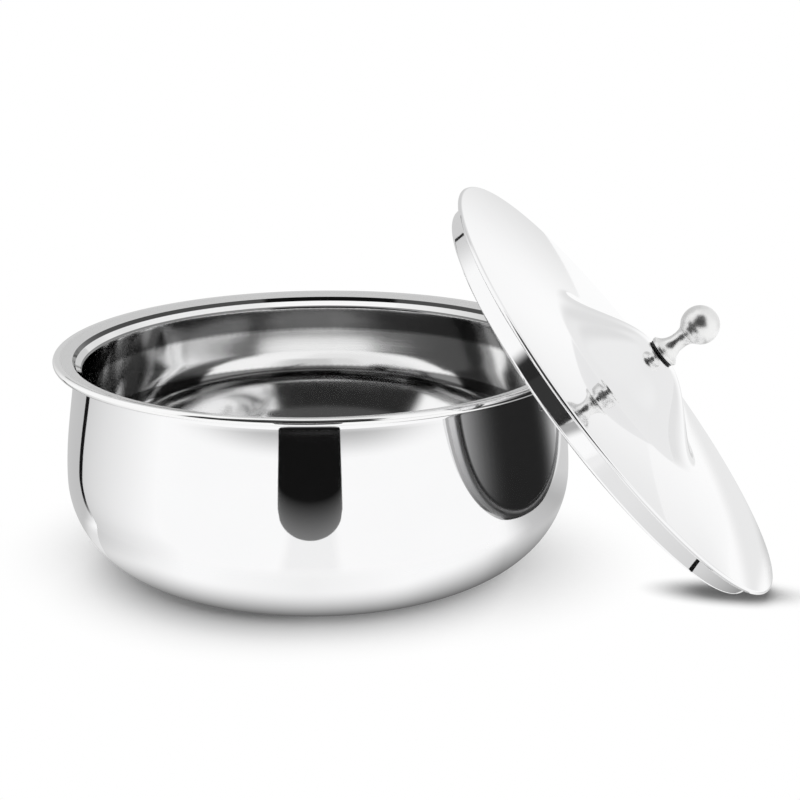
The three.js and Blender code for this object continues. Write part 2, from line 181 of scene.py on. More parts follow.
def weighted(weights, corners):
    return tuple(sum(weight * corner[axis] for weight, corner in zip(weights, corners)) for axis in (0, 1))


def bend(start, start_handle, end_handle, end, steps):
    points = []
    for step in range(steps + 1):
        t = step / steps
        weights = ((1 - t) ** 3, 3 * t * (1 - t) ** 2, 3 * t * t * (1 - t), t**3)
        points.append(weighted(weights, (start, start_handle, end_handle, end)))
    return points


def joined(*runs):
    points = []
    for run in runs:
        for point in run:
            if not points or math.dist(points[-1], point) > SAME_POINT:
                points.append(point)
    return points


def direction(a, b):
    length = math.dist(a, b)
    return ((b[0] - a[0]) / length, (b[1] - a[1]) / length)


def shifted(profile, distance):
    """The profile moved to the left of its travel by the distance."""
    moved = []
    last = len(profile) - 1
    for index, here in enumerate(profile):
        arriving = direction(profile[index - 1], here) if index > 0 else direction(here, profile[1])
        leaving = direction(here, profile[index + 1]) if index < last else arriving
        along = (arriving[0] + leaving[0], arriving[1] + leaving[1])
        length = math.hypot(*along)
        along = (along[0] / length, along[1] / length)
        stretch = distance / (along[0] * arriving[0] + along[1] * arriving[1])
        moved.append((here[0] - along[1] * stretch, here[1] + along[0] * stretch))
    return moved


def softened(outline, radius, closed=True, least_turn=math.radians(14)):
    """The outline with every sharp corner replaced by a small curve."""
    count = len(outline)
    points = []
    for index, here in enumerate(outline):
        if not closed and index in (0, count - 1):
            points.append(here)
            continue
        before, after = outline[index - 1], outline[(index + 1) % count]
        arriving, leaving = direction(before, here), direction(here, after)
        turn = math.acos(max(-1, min(1, arriving[0] * leaving[0] + arriving[1] * leaving[1])))
        if turn < least_turn:
            points.append(here)
            continue
        edge = min(math.dist(before, here), math.dist(here, after))
        cut = min(radius * math.tan(turn / 2), edge * CORNER_REACH)
        start = (here[0] - arriving[0] * cut, here[1] - arriving[1] * cut)
        end = (here[0] + leaving[0] * cut, here[1] + leaving[1] * cut)
        for step in range(CORNER_STEPS + 1):
            t = step / CORNER_STEPS
            points.append(weighted(((1 - t) ** 2, 2 * t * (1 - t), t * t), (start, here, end)))
    return points


def area(outline):
    return sum(a[0] * b[1] - b[0] * a[1] for a, b in zip(outline, outline[1:] + outline[:1])) / 2


# Meshes


def metres(*lengths):
    return tuple(length * MILLIMETRE for length in lengths)


def placed(name, data):
    """A new object in the scene."""
    item = bpy.data.objects.new(name, data)
    bpy.context.scene.collection.objects.link(item)
    return item


def lathe(name, outline, steps, place=Matrix()):
    """A solid of revolution about Z, then moved to its place.

    Its outline starts and ends on the axis, or is a closed loop. The attribute "turned" keeps each
    point's place in the turned solid's own frame.
    """
    if area(outline) < 0:
        outline = outline[::-1]
    on_axis = outline[0][0] < ON_AXIS and outline[-1][0] < ON_AXIS
    count = len(outline)
    lengths = [0.0]
    for index in range(1, count + (0 if on_axis else 1)):
        lengths.append(lengths[-1] + math.dist(outline[index - 1], outline[index % count]))
    vertices, normals, rings = [], [], []
    for index, (radius, height) in enumerate(outline):
        before = outline[index - 1] if index > 0 or not on_axis else outline[index]
        after = outline[(index + 1) % count] if index < count - 1 or not on_axis else outline[index]
        along = direction(before, after)
        ring = []
        for step in range(1 if radius < ON_AXIS else steps):
            angle = 2 * math.pi * step / steps
            turn = (math.cos(angle), math.sin(angle))
            ring.append(len(vertices))
            vertices.append(metres(radius * turn[0], radius * turn[1], height))
            if radius < ON_AXIS:
                normals.append((0, 0, 1 if index else -1))
            else:
                normals.append((along[1] * turn[0], along[1] * turn[1], -along[0]))
        rings.append(ring)
    faces, charts = [], []
    for index in range(count - 1 if on_axis else count):
        lower, upper = rings[index], rings[(index + 1) % count]
        v_low, v_high = lengths[index] / lengths[-1], lengths[index + 1] / lengths[-1]
        for step in range(steps):
            following = (step + 1) % steps
            u_here, u_next = step / steps, (step + 1) / steps
            if len(lower) == 1:
                faces.append((lower[0], upper[following], upper[step]))
                charts.append(((u_here, v_low), (u_next, v_high), (u_here, v_high)))
            elif len(upper) == 1:
                faces.append((lower[step], lower[following], upper[0]))
                charts.append(((u_here, v_low), (u_next, v_low), (u_here, v_high)))
            else:
                faces.append((lower[step], lower[following], upper[following], upper[step]))
                charts.append(((u_here, v_low), (u_next, v_low), (u_next, v_high), (u_here, v_high)))
    mesh = bpy.data.meshes.new(name)
    mesh.from_pydata([place @ Vector(vertex) for vertex in vertices], [], faces)
    layer = mesh.uv_layers.new(name="turn")
    flat = [value for chart in charts for corner in chart for value in corner]
    layer.data.foreach_set("uv", flat)
    own_frame = mesh.attributes.new("turned", "FLOAT_VECTOR", "POINT")
    own_frame.data.foreach_set("vector", [value for vertex in vertices for value in vertex])
    mesh.shade_smooth()
    spin = place.to_3x3()
    mesh.normals_split_custom_set_from_vertices([spin @ Vector(normal) for normal in normals])
    mesh.update()
    return placed(name, mesh)


def sheet(name, face, thickness, corner, place=Matrix()):
    """A turned sheet, one of whose faces follows the profile."""
    outline = joined(face, shifted(face, thickness)[::-1])
    return lathe(name, softened(outline, corner), TURN_STEPS, place)


# Profiles of the pieces


def flange_height(radius, depth):
    top = arc(BEAD_CENTRE, BEAD_RADIUS, BEAD_RADIUS, BEAD_START, BEAD_START, 1)[0]
    return top[1] - (top[0] - radius) * math.tan(FLANGE_SLOPE) - depth / math.cos(FLANGE_SLOPE)


FLANGE_EDGE = (FLANGE_INNER_RADIUS, flange_height(FLANGE_INNER_RADIUS, 0))


def bowl_face():
    step = (STEP_RADIUS, FLANGE_EDGE[1] - STEP_DROP)
    mouth_end = QUARTER + FUNNEL_SLOPE
    edge_radius = MOUTH_RADIUS + MOUTH_EDGE_RADIUS
    funnel_foot = edge_radius + MOUTH_EDGE_RADIUS * math.cos(mouth_end)
    edge_height = (
        step[1]
        - (step[0] - funnel_foot) * math.tan(FUNNEL_SLOPE)
        - MOUTH_EDGE_RADIUS * math.sin(mouth_end)
    )
    mouth_edge = arc(
        (edge_radius, edge_height), MOUTH_EDGE_RADIUS, MOUTH_EDGE_RADIUS,
        math.pi + MOUTH_LEAN, mouth_end, 12,
    )
    top = mouth_edge[0]
    rise = top[1] - BOWL_BELLY_HEIGHT
    handle = rise * BOWL_HANDLES[1]
    floor = arc(
        (BOWL_FLOOR_RADIUS, BOWL_BELLY_HEIGHT),
        BOWL_BELLY_RADIUS - BOWL_FLOOR_RADIUS, BOWL_BELLY_HEIGHT - BOWL_FLOOR_HEIGHT,
        -QUARTER, 0, CURVE_STEPS,
    )
    wall = bend(
        (BOWL_BELLY_RADIUS, BOWL_BELLY_HEIGHT),
        (BOWL_BELLY_RADIUS, BOWL_BELLY_HEIGHT + rise * BOWL_HANDLES[0]),
        (top[0] + handle * math.tan(MOUTH_LEAN), top[1] - handle),
        top,
        CURVE_STEPS // 2,
    )
    bead = arc(
        BEAD_CENTRE, BEAD_RADIUS, BEAD_RADIUS, BEAD_START, BEAD_START - BEAD_CURL, BEAD_STEPS,
    )
    return joined([(0, BOWL_FLOOR_HEIGHT)], floor, wall, mouth_edge, [step, FLANGE_EDGE], bead)


def body_face():
    depth = BOWL_SHEET + TOUCH_GAP + SHELL_SHEET
    flare_end = QUARTER + FLANGE_SLOPE
    flare_radius = NECK_RADIUS + NECK_FLARE_RADIUS
    flare_top = flare_radius + NECK_FLARE_RADIUS * math.cos(flare_end)
    flare_height = flange_height(flare_top, depth) - NECK_FLARE_RADIUS * math.sin(flare_end)
    flare = arc(
        (flare_radius, flare_height), NECK_FLARE_RADIUS, NECK_FLARE_RADIUS,
        math.pi + NECK_LEAN, flare_end, 14,
    )
    top = flare[0]
    rise = top[1] - BELLY_HEIGHT
    handle = rise * BODY_HANDLES[1]
    lower = arc(
        (BASE_RADIUS, BELLY_HEIGHT), BELLY_RADIUS - BASE_RADIUS, BELLY_HEIGHT,
        -QUARTER, 0, CURVE_STEPS,
    )
    upper = bend(
        (BELLY_RADIUS, BELLY_HEIGHT),
        (BELLY_RADIUS, BELLY_HEIGHT + rise * BODY_HANDLES[0]),
        (top[0] + handle * math.tan(NECK_LEAN), top[1] - handle),
        top,
        CURVE_STEPS,
    )
    ledge = BASE_SHEET + TOUCH_GAP
    foot = [
        (BASE_RECESS_RADIUS - BASE_LEDGE_WIDTH, ledge), (BASE_RECESS_RADIUS, ledge), (BASE_RECESS_RADIUS, 0)
    ]
    flange_end = BEAD_CENTRE[0] - SHELL_FLANGE_INSET
    return joined(foot, lower, upper, flare, [(flange_end, flange_height(flange_end, depth))])


def cover_face():
    seat, foot = (CONE_SEAT_RADIUS, CONE_HEIGHT), (CONE_FOOT_RADIUS, DISC_RISE)
    span = CONE_FOOT_RADIUS - CONE_SEAT_RADIUS
    seat_handle, foot_handle = span * CONE_HANDLES[0], span * CONE_HANDLES[1]
    cone = bend(
        seat,
        (seat[0] + seat_handle, seat[1] - seat_handle * math.tan(CONE_SEAT_SLOPE)),
        (foot[0] - foot_handle, foot[1] + foot_handle * math.tan(CONE_FOOT_SLOPE)),
        foot,
        CURVE_STEPS,
    )
    hem = arc(HEM_CENTRE, HEM_RADIUS, HEM_RADIUS, QUARTER, -QUARTER, 16)
    start, rim = foot, hem[0]
    reach = rim[0] - start[0]
    handle = reach * DISC_HANDLE
    disc = bend(
        start,
        (start[0] + handle, start[1] - handle * math.tan(CONE_FOOT_SLOPE)),
        (rim[0] - handle, rim[1] + handle * DISC_RISE / reach * DISC_RIM_SLOPE),
        rim,
        CURVE_STEPS // 2,
    )
    lip = [(HEM_CENTRE[0] - HEM_LIP_WIDTH, -HEM_RADIUS * 2)]
    return joined([(STUD_HOLE, CONE_HEIGHT)], cone, disc, hem, lip)


def inner_cover_face():
    under = -HEM_RADIUS * 2 + LID_SHEET + TOUCH_GAP
    slope = bend(
        (PANEL_RADIUS, PANEL_HEIGHT),
        (PANEL_RADIUS + PANEL_SLOPE_WIDTH * 0.5, PANEL_HEIGHT),
        (PANEL_RADIUS + PANEL_SLOPE_WIDTH * 0.5, -SKIRT_DEPTH),
        (PANEL_RADIUS + PANEL_SLOPE_WIDTH, -SKIRT_DEPTH),
        16,
    )
    corner = (SKIRT_RADIUS - SKIRT_CORNER, SKIRT_CORNER - SKIRT_DEPTH)
    shoulder = (SKIRT_RADIUS + SKIRT_SHOULDER, under - SKIRT_SHOULDER)
    return joined(
        [(LID_PLUG_RADIUS + TOUCH_GAP, PANEL_HEIGHT)],
        slope,
        arc(corner, SKIRT_CORNER, SKIRT_CORNER, -QUARTER, 0, 10),
        arc(shoulder, SKIRT_SHOULDER, SKIRT_SHOULDER, math.pi, QUARTER, 8),
        [(HEM_CENTRE[0] - SKIRT_FLANGE_INSET, under)],
    )


def plug_outline(cap_radius, lip_width, lip_thickness, cap_bottom, lip_bottom):
    """A plug with a shallow dish in its cap and a lip behind the sheet."""
    dish, dish_height = cap_radius * PLUG_DISH_SHARE, cap_bottom + PLUG_DISH_DEPTH
    lip_top = lip_bottom + lip_thickness
    return softened(
        [
            (0, dish_height), (dish, dish_height), (dish + PLUG_DISH_SLOPE_WIDTH, cap_bottom),
            (cap_radius, cap_bottom), (cap_radius, lip_bottom), (cap_radius + lip_width, lip_bottom),
            (cap_radius + lip_width, lip_top), (0, lip_top),
        ],
        PLUG_EDGE,
        closed=False,
    )


def stem_outline():
    foot_top = FOOT_BOTTOM + FOOT_HEIGHT
    edge = FOOT_RADIUS - FOOT_EDGE
    foot = (edge, foot_top)
    waist = (WAIST_RADIUS, FOOT_BOTTOM + STEM_LENGTH * WAIST_SHARE)
    cup_reach = BALL_RADIUS + CUP_GAP
    cup_angle = math.asin(CUP_RADIUS / cup_reach)
    cup_edge = (CUP_RADIUS, BALL_HEIGHT - cup_reach * math.cos(cup_angle))
    lower_in, lower_up = foot[0] - waist[0], waist[1] - foot[1]
    upper_out, upper_up = cup_edge[0] - waist[0], cup_edge[1] - waist[1]
    outline = joined(
        [(0, STUD_TOP + TOUCH_GAP), (STUD_HOLE, STUD_TOP + TOUCH_GAP), (STUD_HOLE, FOOT_BOTTOM)],
        arc((edge, FOOT_BOTTOM + FOOT_EDGE), FOOT_EDGE, FOOT_EDGE, -QUARTER, 0, 8),
        arc((edge, foot_top - FOOT_EDGE), FOOT_EDGE, FOOT_EDGE, 0, QUARTER, 8),
        bend(
            foot, (foot[0] - lower_in * STEM_FOOT_HANDLES[0], foot[1] + lower_up * STEM_FOOT_HANDLES[1]),
            (waist[0], waist[1] - lower_up * WAIST_HANDLES[0]), waist, CURVE_STEPS,
        ),
        bend(
            waist, (waist[0], waist[1] + upper_up * WAIST_HANDLES[1]),
            (cup_edge[0] - upper_out * STEM_CUP_HANDLES[0], cup_edge[1] - upper_up * STEM_CUP_HANDLES[1]),
            cup_edge, 12,
        ),
        arc((0, BALL_HEIGHT), cup_reach, cup_reach, cup_angle - QUARTER, -QUARTER, 12)[:-1],
        [(0, BALL_HEIGHT - cup_reach)],
    )
    return softened(outline, STEM_EDGE, closed=False)


def ball_outline():
    half = arc((0, BALL_HEIGHT), BALL_RADIUS, BALL_RADIUS, -QUARTER, QUARTER, 48)
    return [(0, half[0][1])] + half[1:-1] + [(0, half[-1][1])]


def washer_outline(inner, outer, bottom, thickness, edge):
    top = bottom + thickness
    return softened([(inner, bottom), (outer, bottom), (outer, top), (inner, top)], edge)


def base_disc(name):
    """The base plate: a flat disc with a small bevel and two round holes."""
    curve = bpy.data.curves.new(name, "CURVE")
    curve.dimensions = "2D"
    curve.fill_mode = "BOTH"
    bevel = PLATE_BEVEL * MILLIMETRE
    curve.extrude = BASE_SHEET / 2 * MILLIMETRE - bevel
    curve.bevel_depth = bevel
    curve.bevel_resolution = 2
    rings = [(0, BASE_PLATE_RADIUS, TURN_STEPS)]
    for side in (1, -1):
        rings.append((side * BASE_PLUG_PLACE, BASE_PLUG_RADIUS + TOUCH_GAP, SMALL_STEPS))
    for place, radius, steps in rings:
        inset = radius - PLATE_BEVEL if place == 0 else radius + PLATE_BEVEL
        spline = curve.splines.new("POLY")
        spline.points.add(steps - 1)
        spline.use_cyclic_u = True
        for step, point in enumerate(spline.points):
            angle = 2 * math.pi * step / steps
            point.co = (*metres(inset * math.cos(angle), place + inset * math.sin(angle), 0), 1)
    maker = placed(name + "_outline", curve)
    bpy.context.view_layer.update()
    mesh = bpy.data.meshes.new_from_object(maker.evaluated_get(bpy.context.evaluated_depsgraph_get()))
    bpy.data.objects.remove(maker)
    mesh.name = name
    mesh.transform(Matrix.Translation(metres(0, 0, BASE_SHEET / 2)))
    return placed(name, mesh)


# Materials

# How fine the marks in the steel are: the turning marks, the smudges and the flange's grain
TURNED_FINENESS = 2600
SMUDGE_FINENESS = 28
GRAIN_FINENESS = 3800

# Between these lies most of a noise texture; the steel's smudges vary its gloss by HAZE_SHARE of
# what its turning marks do
NOISE_SPAN = (0.3, 0.7)
HAZE_SHARE = 0.6
MATT_SPREAD = 0.06

# Bands of the lid's inner sheet: their radii, how soft their edges are and how rough they are.
# The first is satin, and the second is the skirt.
UNDER_BANDS = ((90.5, 95.5, 4, 0.4), (98.5, RIM_RADIUS, 1, 0.055))

# Bands of the bowl: their radii and how soft their edges are. The step's band and the mouth's band carry
# painted shade.
FLANGE_BAND = (FLANGE_INNER_RADIUS + 0.3, RIM_RADIUS - BEAD_RADIUS * 1.9, 0.4)
STEP_SHADE_BAND = (STEP_RADIUS + 0.1, FLANGE_INNER_RADIUS - 0.1, 0.15)
MOUTH_SHADE_BAND = (MOUTH_RADIUS + 0.1, MOUTH_RADIUS + 0.7, 0.15)
INSIDE_BAND = (-2, MOUTH_RADIUS - 1, 0.8)

# How rough the bowl's steel is, and how bright; the step's dark level is painted shade, and the mouth's edge
# takes a share of it
BOWL_ROUGHNESS, INSIDE_ROUGHNESS, FLANGE_ROUGHNESS = (0.045, 0.075), (0.09, 0.15), (0.26, 0.4)
BOWL_LEVELS, FLANGE_LEVELS, STEP_PAINTED_SHADE = (0.93, 0.95), (0.84, 0.93), 0.07
MOUTH_PAINTED_SHADE_SHARE = 0.8


def new_material(name, color, roughness, metallic):
    material = bpy.data.materials.new(name)
    material.use_nodes = True
    tree = material.node_tree
    shader = tree.nodes["Principled BSDF"]
    shader.inputs["Base Color"].default_value = (*color, 1)
    shader.inputs["Roughness"].default_value = roughness
    shader.inputs["Metallic"].default_value = metallic
    return material, tree, shader


def added(tree, kind, inputs=(), **settings):
    """A new node's outputs, once its inputs, by name or number, are linked to a socket or set."""
    node = tree.nodes.new("ShaderNode" + kind)
    for name, value in settings.items():
        setattr(node, name, value)
    for key, value in dict(inputs).items():
        if isinstance(value, bpy.types.NodeSocket):
            tree.links.new(value, node.inputs[key])
        else:
            node.inputs[key].default_value = value
    return node.outputs


def linked(tree, operation, first, second):
    """A Math node on two sockets or numbers."""
    return added(tree, "Math", {0: first, 1: second}, operation=operation)["Value"]


def eased(tree, source, start, end, low, high, kind="SMOOTHSTEP"):
    """A smooth change from low to high as the source goes from start to end."""
    inputs = {0: source, 1: start, 2: end, 3: low, 4: high}
    return added(tree, "MapRange", inputs, interpolation_type=kind)["Result"]


def ranged(tree, noise, low, high):
    """The noise, spread evenly from low to high."""
    return eased(tree, noise, *NOISE_SPAN, low, high, "LINEAR")


def blended(tree, factor, first, second):
    """A Mix node on three sockets or numbers."""
    return added(tree, "Mix", {0: factor, 2: first, 3: second})[0]


def vector_math(tree, operation, first, second=(0, 0, 0)):
    return added(tree, "VectorMath", {0: first, 1: second}, operation=operation)


def grey(tree, level):
    return added(tree, "CombineColor", {"Red": level, "Green": level, "Blue": level})["Color"]


def own_place(tree):
    return added(tree, "Attribute", attribute_name="turned")["Vector"]


def axis_distance(tree):
    """How far a point of a turned piece is from its axis, in metres."""
    flat = vector_math(tree, "MULTIPLY", own_place(tree), (1, 1, 0))["Vector"]
    return vector_math(tree, "LENGTH", flat)["Value"]


def radius_band(tree, start, end, soft):
    """One where the distance from the axis is between start and end, all in millimetres."""
    radius = axis_distance(tree)
    low, high, edge = start * MILLIMETRE, end * MILLIMETRE, soft * MILLIMETRE
    inner = eased(tree, radius, low - edge, low, 0, 1)
    outer = eased(tree, radius, high, high + edge, 1, 0)
    return linked(tree, "MULTIPLY", inner, outer)


def noise_at(tree, place, fineness, detail):
    return added(tree, "TexNoise", {"Vector": place, "Scale": fineness, "Detail": detail})["Fac"]


def rings_around(tree, fineness):
    """Noise that changes with the distance from the axis and the height, as turned metal does."""
    height = added(tree, "SeparateXYZ", {0: own_place(tree)})["Z"]
    place = added(tree, "CombineXYZ", {0: axis_distance(tree), 1: height})["Vector"]
    return noise_at(tree, place, fineness, 3)


def cloud(tree, fineness, detail=3):
    return noise_at(tree, added(tree, "TexCoord")["Object"], fineness, detail)


def tinted(tree, shader, noise, low, high):
    inputs = {0: ranged(tree, noise, 0, 1), 6: (*low, 1), 7: (*high, 1)}
    color = added(tree, "Mix", inputs, data_type="RGBA")[2]
    tree.links.new(color, shader.inputs["Base Color"])


def bumped(tree, shader, source, distance):
    bump = added(tree, "Bump", {"Strength": 1, "Distance": distance, "Height": source})
    tree.links.new(bump["Normal"], shader.inputs["Normal"])


def steel(name, low, high, roughness, spread, ring_fineness, ring_depth, bands=()):
    """Polished or satin steel: turning marks, smudges in its gloss, and bands that are rougher."""
    material, tree, shader = new_material(name, high, roughness, 1)
    rings = rings_around(tree, ring_fineness)
    smudge = cloud(tree, SMUDGE_FINENESS)
    marks = ranged(tree, rings, roughness - spread, roughness + spread)
    haze = ranged(tree, smudge, -spread * HAZE_SHARE, spread * HAZE_SHARE)
    gloss = linked(tree, "ADD", marks, haze)
    tinted(tree, shader, smudge, low, high)
    for start, end, soft, band_roughness in bands:
        gloss = blended(tree, radius_band(tree, start, end, soft), gloss, band_roughness)
    tree.links.new(gloss, shader.inputs["Roughness"])
    bumped(tree, shader, rings, ring_depth)
    return material


def bowl_steel():
    """Polished steel with a satin flange, painted shade in the step beside it and along the mouth's edge,
    and a softer shine in the bowl.
    """
    material, tree, shader = new_material("bowl_steel", (0.94, 0.94, 0.94), 0.06, 1)
    rings = rings_around(tree, TURNED_FINENESS)
    smudge = cloud(tree, SMUDGE_FINENESS)
    grain = cloud(tree, GRAIN_FINENESS, 4)
    flange = radius_band(tree, *FLANGE_BAND)
    step = radius_band(tree, *STEP_SHADE_BAND)
    mouth = linked(tree, "MULTIPLY", radius_band(tree, *MOUTH_SHADE_BAND), MOUTH_PAINTED_SHADE_SHARE)
    inside = radius_band(tree, *INSIDE_BAND)
    gloss = ranged(tree, rings, *BOWL_ROUGHNESS)
    gloss = blended(tree, inside, gloss, ranged(tree, smudge, *INSIDE_ROUGHNESS))
    gloss = blended(tree, flange, gloss, ranged(tree, grain, *FLANGE_ROUGHNESS))
    tree.links.new(gloss, shader.inputs["Roughness"])
    level = blended(tree, flange, ranged(tree, smudge, *BOWL_LEVELS), ranged(tree, grain, *FLANGE_LEVELS))
    # Painted shade: the step and the line along the mouth's edge are darkened in colour
    level = blended(tree, linked(tree, "MAXIMUM", step, mouth), level, STEP_PAINTED_SHADE)
    tree.links.new(grey(tree, level), shader.inputs["Base Color"])
    bumped(tree, shader, blended(tree, flange, rings, grain), 4e-7)
    return material


def matt(name, low, high, roughness, grain, depth):
    material, tree, shader = new_material(name, high, roughness, 0)
    noise = cloud(tree, grain, 6)
    tinted(tree, shader, noise, low, high)
    gloss = ranged(tree, noise, roughness - MATT_SPREAD, roughness + MATT_SPREAD)
    tree.links.new(gloss, shader.inputs["Roughness"])
    bumped(tree, shader, noise, depth)
    return material


# Polished steel: its two colours, how rough it is and how much that varies, and how fine and how
# deep its turning marks are
POLISHED = ((0.94, 0.94, 0.945), (0.955, 0.955, 0.96), 0.035, 0.012, TURNED_FINENESS, 1e-7)
MIRROR = steel("mirror_steel", *POLISHED)
UNDER_STEEL = steel("lid_under_steel", *POLISHED, UNDER_BANDS)
BOWL_STEEL = bowl_steel()
SATIN = steel("satin_steel", (0.86, 0.86, 0.855), (0.91, 0.91, 0.905), 0.3, 0.04, 5200, 1.5e-6)
BASE = steel("spun_steel", (0.74, 0.74, 0.735), (0.82, 0.82, 0.815), 0.3, 0.06, 3400, 3e-6)
ZINC = steel("zinc_plate", (0.62, 0.61, 0.56), (0.72, 0.71, 0.66), 0.42, 0.08, 4000, 4e-6)
FOAM = matt("foam", (0.78, 0.70, 0.48), (0.90, 0.84, 0.64), 0.92, 900, 4e-5)
RUBBER = matt("dark_rubber", (0.012, 0.012, 0.013), (0.02, 0.02, 0.021), 0.5, 1600, 6e-6)
PLASTIC = matt("grey_plastic", (0.16, 0.165, 0.17), (0.21, 0.215, 0.22), 0.48, 1300, 8e-6)


# Pieces

lean_sin, lean_cos = math.sin(LID_LEAN), math.cos(LID_LEAN)


def lid_drop(radius, height, round_radius):
    return radius * lean_sin - height * lean_cos + round_radius


lid_height = TOUCH_GAP + max(
    lid_drop(HEM_CENTRE[0], HEM_CENTRE[1], HEM_RADIUS),
    lid_drop(SKIRT_RADIUS - SKIRT_CORNER, SKIRT_CORNER - SKIRT_DEPTH, SKIRT_CORNER),
)
lid_reach = (BEAD_CENTRE[1] - lid_height) * lean_cos - PANEL_HEIGHT + BEAD_RADIUS + TOUCH_GAP
LID_PLACE = Matrix.Translation(
    metres(BEAD_CENTRE[0] + lid_reach / lean_sin, 0, lid_height)
) @ Matrix.Rotation(LID_LEAN, 4, "Y")


def dress(piece, material, body, node):
    piece.data.materials.clear()
    piece.data.materials.append(material)
    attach(piece, body)
    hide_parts(node)


dress(
    sheet("pot_outer_shell", body_face(), SHELL_SHEET, SHELL_CORNER),
    MIRROR, "pot", "outer_shell",
)
dress(
    sheet("pot_inner_bowl", bowl_face(), -BOWL_SHEET, RIM_CORNER),
    BOWL_STEEL, "pot", "inner_bowl",
)
dress(base_disc("pot_base_disc"), BASE, "pot", "base_plate")
for side, node in ((1, "base_fill_plug"), (-1, "base_vent_plug")):
    plug = lathe(
        "pot_" + node,
        plug_outline(
            BASE_PLUG_RADIUS, BASE_PLUG_LIP, BASE_PLUG_LIP_THICKNESS,
            PLUG_RECESS, BASE_SHEET + TOUCH_GAP,
        ),
        SMALL_STEPS,
        Matrix.Translation(metres(0, side * BASE_PLUG_PLACE, 0)),
    )
    dress(plug, RUBBER, "pot", node)

dress(
    sheet("lid_outer_cover", cover_face(), -LID_SHEET, LID_CORNER, LID_PLACE),
    MIRROR, "lid", "lid_cover",
)
dress(
    sheet("lid_underside", inner_cover_face(), LID_SHEET, LID_CORNER, LID_PLACE),
    UNDER_STEEL, "lid", "lid_inner_cover",
)
dress(
    lathe(
        "lid_underside_plug",
        plug_outline(
            LID_PLUG_RADIUS, LID_PLUG_LIP, LID_PLUG_LIP_THICKNESS,
            PANEL_HEIGHT + PLUG_RECESS, PANEL_HEIGHT + LID_SHEET + TOUCH_GAP,
        ),
        SMALL_STEPS,
        LID_PLACE,
    ),
    PLASTIC, "lid", "lid_fill_plug",
)
dress(
    lathe(
        "lid_knob_ring",
        washer_outline(STUD_HOLE, RING_RADIUS, RING_BOTTOM, RING_THICKNESS, RING_EDGE),
        KNOB_STEPS,
        LID_PLACE,
    ),
    RUBBER, "lid", "knob_seat_ring",
)
dress(
    lathe("lid_knob_stem", stem_outline(), KNOB_STEPS, LID_PLACE),
    SATIN, "lid", "knob_stem",
)
dress(
    lathe("lid_knob_ball", ball_outline(), KNOB_STEPS, LID_PLACE),
    SATIN, "knob", "knob_ball",
)

for node, material in (
    ("pot_insulation", FOAM), ("lid_insulation", FOAM), ("knob_stud", ZINC), ("stud_washer", ZINC),
    ("stud_lock_washer", ZINC), ("stud_nut", ZINC),
):
    for material_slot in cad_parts[node].material_slots:
        material_slot.material = material

# Stage


def stage_piece(name, vertices, faces, look):
    mesh = bpy.data.meshes.new(name)
    mesh.from_pydata(vertices, [], faces)
    mesh.materials.append(look)
    item = placed(name, mesh)
    return item


def bare_material(name):
    """A material with an empty tree, and the socket of its surface."""
    material = bpy.data.materials.new(name)
    material.use_nodes = True
    tree = material.node_tree
    tree.nodes.clear()
    return material, tree, tree.nodes.new("ShaderNodeOutputMaterial").inputs["Surface"]


def seen_by(tree, first, *others):
    """One to the kinds of rays that are named."""
    path = added(tree, "LightPath")
    share = path[first]
    for ray in others:
        share = linked(tree, "MAXIMUM", share, path[ray])
    return share


def glow(tree, strength):
    return added(tree, "Emission", {"Strength": strength})["Emission"]


def mixed(tree, surface, share, first, second):
    """The surface has the first shader at a share of zero and the second at one."""
    tree.links.new(added(tree, "MixShader", {0: share, 1: first, 2: second})["Shader"], surface)


# The floor, in metres
FLOOR_HALF = 12
FLOOR_DEPTH = 0.0004
FLOOR_COLOR = 0.87
FLOOR_GLOW = 0.04

# Where the floor takes the pot's shadow: the middle and reach of each oval, and the shares of
# that reach where the shadow starts to fade and is gone
POT_SHADOWS = (
    ((0, 0), (0.1, 0.1), (0.745, 1.25)),
    ((-0.012, -0.003), (0.1, 0.1), (0.745, 1.25)),
    ((-0.03, 0.005), (0.1, 0.09), (0.54, 1.26)),
    ((0.03, 0), (0.1, 0.09), (0.313, 1.23)),
)
POT_SHADOW_POWER = 0.6

# The lid's oval: in its middle the floor's colour is darkened by the share below, a painted shadow on top of
# the real one. It is there while something within CONTACT_REACH hides some of the room above, and goes when
# the lid is lifted.
LID_OVAL = ((0.185, -0.022), (0.044, 0.019))
LID_FADE = (0.3, 1)
LID_PAINTED_SHADOW = 0.22
CONTACT_REACH = 0.06
CONTACT_OPEN = (0.93, 0.99)
CONTACT_SAMPLES = 8


def oval_distance(tree, middle, reach):
    """How far a point of the floor is from the middle, as a share of the oval's reach."""
    moved = vector_math(tree, "SUBTRACT", added(tree, "TexCoord")["Object"], (*middle, 0))["Vector"]
    scaled = vector_math(tree, "DIVIDE", moved, (*reach, 1))["Vector"]
    return vector_math(tree, "LENGTH", scaled)["Value"]


